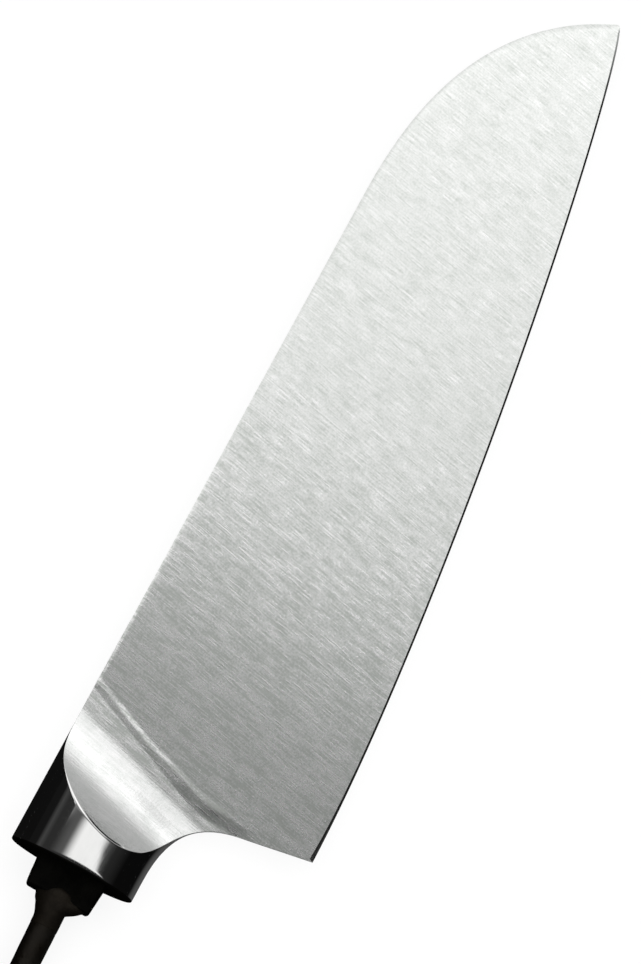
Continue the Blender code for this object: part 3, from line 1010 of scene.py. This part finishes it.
def make_softbox(name, x_span, y_span, z, fades, level, far_level=None, skew=0.0, low_slant=0.0):
    """A level softbox that only the steel mirrors. Its measures run from the datum, in mm.

    It turns clear over a soft width at each end of x and of y. Where a far level is given, its light changes
    evenly along x. A skewed one shifts towards the edge's side as x grows, and its y span is taken at the
    datum. A low slant turns its low end in y about the end's middle.
    """
    x_low, x_high = x_span
    y_low, y_high = y_span
    x_low_fade, x_high_fade, y_low_fade, y_high_fade = fades
    material, nodes = new_material(name)
    axis = nodes.axes(nodes.place())
    across = nodes.math("MULTIPLY_ADD", axis["X"], skew, axis["Y"]) if skew else axis["Y"]
    low_across = across
    if low_slant:
        past_middle = nodes.minus(axis["X"], (x_low + x_high) / 2 * MM)
        low_across = nodes.math("MULTIPLY_ADD", past_middle, -low_slant, across)
    cover = 1.0
    for value, clear_at, full_at in (
        (axis["X"], x_low, x_low + x_low_fade),
        (axis["X"], x_high, x_high - x_high_fade),
        (low_across, y_low, y_low + y_low_fade),
        (across, y_high, y_high - y_high_fade),
    ):
        cover = nodes.times(cover, nodes.remap(value, clear_at * MM, full_at * MM, smooth=True))
    strength = level
    if far_level is not None:
        strength = nodes.remap(axis["X"], x_low * MM, x_high * MM, level, far_level)
    glow = nodes.add("ShaderNodeEmission", {"Strength": strength})
    clear = nodes.add("ShaderNodeBsdfTransparent")
    end_material(nodes, nodes.add("ShaderNodeMixShader", {0: cover, 1: clear, 2: glow}))
    turn = low_slant * (x_high - x_low) / 2
    outline = [(x_low, y_low - turn), (x_high, y_low + turn), (x_high, y_high), (x_low, y_high)]
    corners = [(x * MM, (y - skew * x) * MM, 0.0) for x, y in outline]
    only_in_reflections(studio_plane(name, corners, DATUM + Vector((0.0, 0.0, z)) * MM, material))


def make_wall(name, start, end, z_span, level):
    """An upright panel that only the steel mirrors. Its measures run from the datum, in mm."""
    material, nodes = new_material(name)
    end_material(nodes, nodes.add("ShaderNodeEmission", {"Strength": level}))
    foot = [Vector((*start, z_span[0])) * MM, Vector((*end, z_span[0])) * MM]
    top = [Vector((*end, z_span[1])) * MM, Vector((*start, z_span[1])) * MM]
    only_in_reflections(studio_plane(name, foot + top, DATUM, material))


def make_lights():
    """Softboxes over the blade and the bolster, and panels and dark cards beside and behind them.

    The far softbox is skewed along the band that the sweep mirrors. The tip and drop softboxes and the two
    panels keep the tip and the eased spine bright. The strip is the white band on the bolster's polished
    sides, and the dark cards give them their dark edges.
    """
    make_softbox("key softbox", (98.0, 400.0), (-110.0, 170.0), 250.0, (26.0, 100.0, 20.0, 1.0), 0.95, 1.17)
    make_softbox(
        "far softbox", (300.0, 690.0), (-80.0, 160.0), 252.0, (1.0, 60.0, 30.0, 60.0), 1.3, 0.6, skew=0.277
    )
    make_softbox("tip softbox", (225.0, 400.0), (-110.0, 170.0), 249.0, (50.0, 100.0, 20.0, 1.0), 1.25)
    make_softbox("drop softbox", (330.0, 520.0), (0.0, 172.0), 249.5, (60.0, 1.0, 60.0, 1.0), 1.15)
    make_softbox("near softbox", (46.0, 115.0), (-110.0, 170.0), 253.0, (8.0, 1.0, 20.0, 1.0), 0.2)
    make_softbox(
        "bolster strip", (28.0, 50.0), (-145.0, 100.0), 250.0, (3.0, 4.0, 60.0, 70.0), 0.93, low_slant=9.0
    )
    make_softbox("bolster glow", (26.0, 58.0), (-200.0, 200.0), 251.0, (6.0, 6.0, 110.0, 110.0), 0.088)
    make_softbox("tang card", (-100.0, 1.0), (-14.0, 14.0), -8.3, (1.0, 1.0, 0.1, 0.1), 0.002)
    make_softbox("spine card", (-100.0, 48.0), (13.5, 60.0), -8.3, (1.0, 1.0, 0.1, 0.1), 0.0048)
    make_softbox("edge card", (-100.0, 20.0), (-60.0, -13.5), -8.3, (1.0, 1.0, 0.1, 0.1), 0.003)
    make_softbox("edge glow", (-30.0, 20.0), (-46.0, -13.5), -8.2, (20.0, 1.0, 30.0, 0.1), 0.08)
    make_wall("spine card upright", (-100.0, 60.0), (36.0, 60.0), (-8.3, 17.7), 0.0048)
    make_wall("upper spine card", (-100.0, 60.0), (36.0, 60.0), (17.7, 36.0), 0.0075)
    make_wall("edge card upright", (-100.0, -60.0), (20.0, -60.0), (-8.3, 36.0), 0.003)
    make_wall("side panel", (60.0, 170.0), (520.0, 170.0), (-8.5, 251.5), 0.9)
    make_wall("end panel", (520.0, 170.0), (520.0, 10.0), (-8.5, 251.5), 0.9)
    make_wall("tip card", (260.0, -200.0), (260.0, -25.0), (-8.3, 10.0), 0.004)


def make_sun():
    """Even soft light for the floor and the black steel. Polished steel doesn't mirror it."""
    lamp = bpy.data.lights.new("soft top light", "SUN")
    lamp.energy = pi * SUN_LEVEL
    lamp.angle = SUN_SPREAD
    sun = bpy.data.objects.new("soft top light", lamp)
    bpy.context.scene.collection.objects.link(sun)
    sun.visible_glossy = False


def make_camera():
    """The photograph's camera: high over the knife and rolled, so that the blade runs up to the right."""
    data = bpy.data.cameras.new("camera")
    data.lens = CAMERA_LENS
    data.sensor_width = CAMERA_SENSOR
    data.clip_start, data.clip_end = CAMERA_CLIP
    camera = bpy.data.objects.new("camera", data)
    bpy.context.scene.collection.objects.link(camera)
    view_way = (CAMERA_AIM - CAMERA_PLACE).normalized()
    level_right = view_way.cross(Vector((1.0, 0.0, 0.0))).normalized()
    level_up = level_right.cross(view_way)
    right = cos(CAMERA_ROLL) * level_right + sin(CAMERA_ROLL) * level_up
    up = cos(CAMERA_ROLL) * level_up - sin(CAMERA_ROLL) * level_right
    turn = Matrix((right, up, -view_way)).transposed()
    camera.matrix_world = Matrix.Translation(CAMERA_PLACE) @ turn.to_4x4()
    bpy.context.scene.camera = camera


def main():
    noise.seed_set(LUMP_SEED)
    satin = satin_steel()
    scale = forge_scale()
    make_blade(satin, honed_steel())
    make_bolster(polished_steel(), satin, scale)
    make_block(scale)
    make_rod(browned_scale())
    make_bead(weld_scale())
    make_floor()
    make_world()
    make_lights()
    make_sun()
    make_camera()
    bpy.context.scene.view_settings.view_transform = "Standard"


main()
